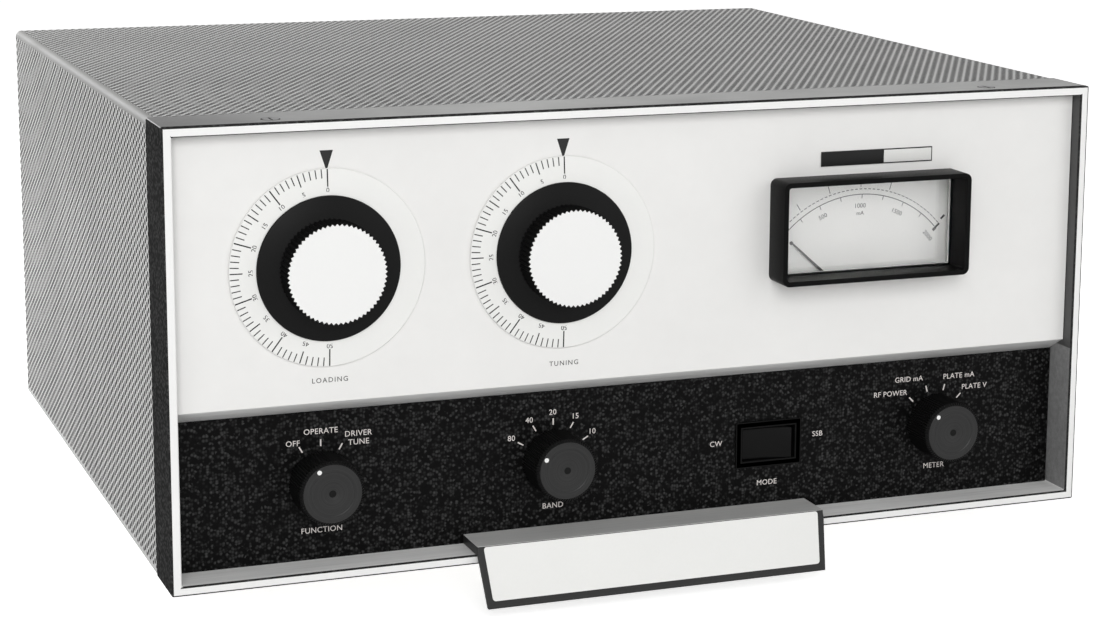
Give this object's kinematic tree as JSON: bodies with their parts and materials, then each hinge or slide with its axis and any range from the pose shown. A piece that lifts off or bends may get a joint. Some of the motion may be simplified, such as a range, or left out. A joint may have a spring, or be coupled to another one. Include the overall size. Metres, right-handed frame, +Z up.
{
  "type": "hf linear amplifier",
  "caption": "Desktop short-wave linear amplifier with two graduated tuning dials, a hooded meter, rotary switches, a perforated cover and its working parts inside.",
  "frame": {"origin": "centre of the footprint, on the surface that the feet stand on", "axes": "+X to the right seen from the front, +Y to the back, +Z up; the front panel faces -Y"},
  "size_m": [0.406, 0.3802, 0.208],
  "materials": {
    "bezel_aluminium": "fine satin anodised aluminium with a bright front lip",
    "cover_grey": "mid grey stoved enamel on perforated steel",
    "plated_steel": "zinc plated sheet steel",
    "light_panel": "off-white satin enamel, screen printed",
    "black_panel": "black crackle enamel, screen printed",
    "bright_trim": "polished trim",
    "badge_dark": "blank two-tone badge",
    "nameplate_light": "satin light enamel with a dark edge",
    "dial_light": "satin light dial with engraved and filled graduations",
    "knob_black": "moulded black plastic",
    "vane_aluminium": "aluminium vanes on a steel shaft",
    "steatite": "glazed steatite ceramic",
    "shaft_steel": "turned steel",
    "wafer_brown": "brown phenolic wafers",
    "rocker_black": "moulded black plastic",
    "hood_black": "black moulded meter hood",
    "meter_glass": "clear flat glass",
    "scale_white": "white printed scale plate",
    "needle_black": "black enamelled pointer",
    "case_grey": "dark moulded meter case",
    "magnet_iron": "sintered magnet ring",
    "tube_glass": "clear tube glass",
    "clip_black": "black finned anode clips",
    "choke_winding": "varnished winding on a ceramic former",
    "coil_silver": "silver plated copper tube",
    "relay_can": "drawn aluminium can",
    "lamination": "black varnished laminations",
    "winding_wrap": "varnished paper wrap",
    "can_sleeve": "blue heat-shrunk sleeve",
    "board_green": "glass-fibre board",
    "fan_black": "black moulded plastic",
    "bright_nickel": "nickel plate",
    "fuse_black": "black phenolic",
    "post_brass": "turned brass",
    "foot_rubber": "black rubber",
    "screw_steel": "blackened steel"
  },
  "bodies": {
    "cabinet": {"bezel": "bezel_aluminium", "cover": "cover_grey", "chassis_base": "plated_steel", "rear_panel": "plated_steel", "feet": "foot_rubber", "case_screws": "screw_steel", "sub_panel": "plated_steel", "upper_panel": "light_panel", "lower_panel": "black_panel", "trim_strip": "bright_trim", "panel_posts": "shaft_steel", "badge": "badge_dark", "nameplate": "nameplate_light", "loading_stator": "vane_aluminium", "loading_frame": "steatite", "tuning_stator": "vane_aluminium", "tuning_frame": "steatite", "function_switch": "wafer_brown", "band_switch": "wafer_brown", "selector_switch": "wafer_brown", "mode_switch": "rocker_black", "meter_hood": "hood_black", "meter_glass": "meter_glass", "meter_scale": "scale_white", "meter_case": "case_grey", "meter_magnet": "magnet_iron", "rf_deck": "plated_steel", "tube_sockets": "steatite", "power_tubes": "tube_glass", "anode_clips": "clip_black", "plate_choke": "choke_winding", "tank_coil": "coil_silver", "coil_feet": "steatite", "antenna_relay": "relay_can", "transformer_core": "lamination", "transformer_winding": "winding_wrap", "filament_transformer": "lamination", "filter_capacitors": "can_sleeve", "rectifier_board": "board_green", "fan_frame": "fan_black", "fan_guard": "bright_nickel", "coax_sockets": "bright_nickel", "fuse_holders": "fuse_black", "ground_post": "post_brass", "cord_gland": "foot_rubber"},
    "loading": {"loading_dial": "dial_light", "loading_knob": "knob_black", "loading_rotor": "vane_aluminium"},
    "tuning": {"tuning_dial": "dial_light", "tuning_knob": "knob_black", "tuning_rotor": "vane_aluminium"},
    "function": {"function_knob": "knob_black", "function_rotor": "shaft_steel"},
    "band": {"band_knob": "knob_black", "band_rotor": "shaft_steel"},
    "selector": {"selector_knob": "knob_black", "selector_rotor": "shaft_steel"},
    "rocker": {"mode_rocker": "rocker_black"},
    "needle": {"meter_needle": "needle_black"},
    "fan": {"fan_wheel": "fan_black"}
  },
  "joints": [
    {"name": "loading_turn", "type": "hinge", "parent": "cabinet", "child": "loading", "pos_m": [-0.137, 0, 0.1485], "axis": [0, 1, 0], "range_deg": [0, 180]},
    {"name": "tuning_turn", "type": "hinge", "parent": "cabinet", "child": "tuning", "pos_m": [-0.0383, 0, 0.1485], "axis": [0, 1, 0], "range_deg": [0, 180]},
    {"name": "function_turn", "type": "hinge", "parent": "cabinet", "child": "function", "pos_m": [-0.138, 0, 0.058], "axis": [0, 1, 0], "range_deg": [0, 60]},
    {"name": "band_turn", "type": "hinge", "parent": "cabinet", "child": "band", "pos_m": [-0.0384, 0, 0.058], "axis": [0, 1, 0], "range_deg": [0, 120]},
    {"name": "selector_turn", "type": "hinge", "parent": "cabinet", "child": "selector", "pos_m": [0.141, 0, 0.058], "axis": [0, 1, 0], "range_deg": [0, 90]},
    {"name": "rocker_tilt", "type": "hinge", "parent": "cabinet", "child": "rocker", "pos_m": [0.06, -0.1579, 0.0565], "axis": [0, 0, 1], "range_deg": [0, 16]},
    {"name": "needle_swing", "type": "hinge", "parent": "cabinet", "child": "needle", "pos_m": [0.09815, 0, 0.1161], "axis": [0, 1, 0], "range_deg": [0, 96], "stiffness_Nm_per_rad": 0.0006},
    {"name": "fan_spin", "type": "hinge", "parent": "cabinet", "child": "fan", "pos_m": [-0.119, 0, 0.1485], "axis": [0, 1, 0], "continuous": true}
  ]
}
